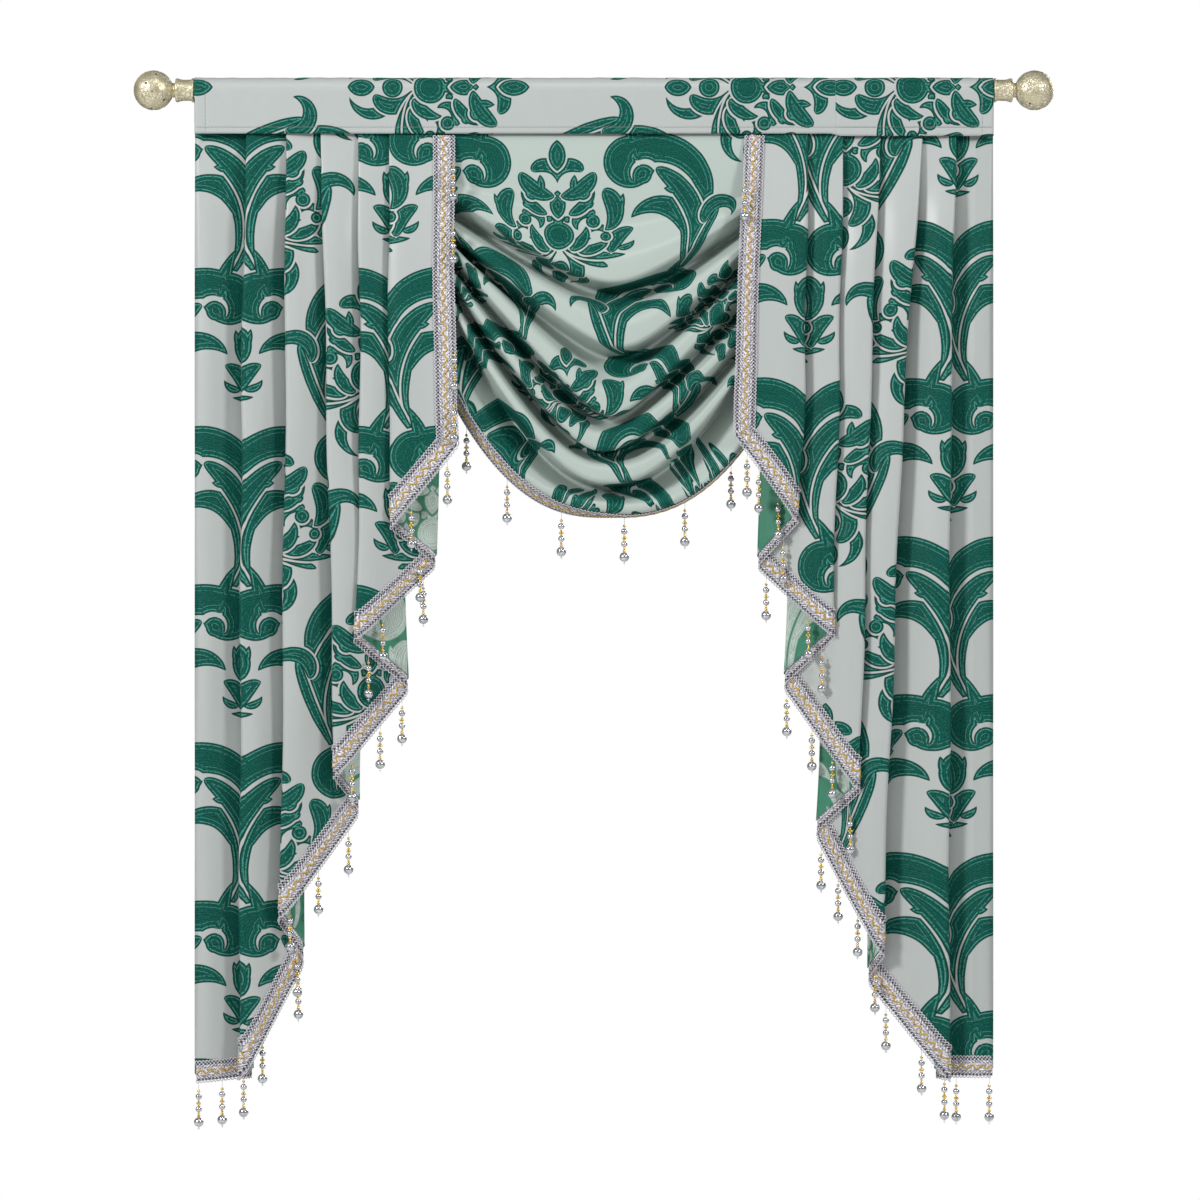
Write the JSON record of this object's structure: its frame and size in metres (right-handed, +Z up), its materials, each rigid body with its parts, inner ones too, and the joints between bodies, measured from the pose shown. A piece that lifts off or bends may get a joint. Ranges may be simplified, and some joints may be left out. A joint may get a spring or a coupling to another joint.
{
  "type": "swag and tail drape on a curtain pole",
  "caption": "Patterned swag with cascading pleated tails, edged in braid and beaded drops, on a pole with ball finials.",
  "frame": {"origin": "the pole's axis at the middle of its length, where the wall brackets hold it", "axes": "+X along the pole to the right as seen from the room, -Y towards the room, +Z up"},
  "size_m": [1.1536, 0.0659, 1.3286],
  "materials": {
    "pole_finish": "antique",
    "finial_left_finish": "hammered antique",
    "finial_right_finish": "hammered antique",
    "sleeve_cloth": "woven satin",
    "tail_left_cloth": "woven satin",
    "tail_right_cloth": "woven satin",
    "swag_cloth": "woven satin",
    "braid_left_woven": "gimp braid",
    "braid_right_woven": "gimp braid",
    "braid_swag_woven": "gimp braid"
  },
  "bodies": {
    "root": {"pole": "pole_finish", "finial_left": "finial_left_finish", "finial_right": "finial_right_finish", "sleeve": "sleeve_cloth", "tail_left": "tail_left_cloth", "tail_right": "tail_right_cloth", "swag": "swag_cloth", "braid_left": "braid_left_woven", "braid_right": "braid_right_woven", "braid_swag": "braid_swag_woven"}
  },
  "joints": []
}
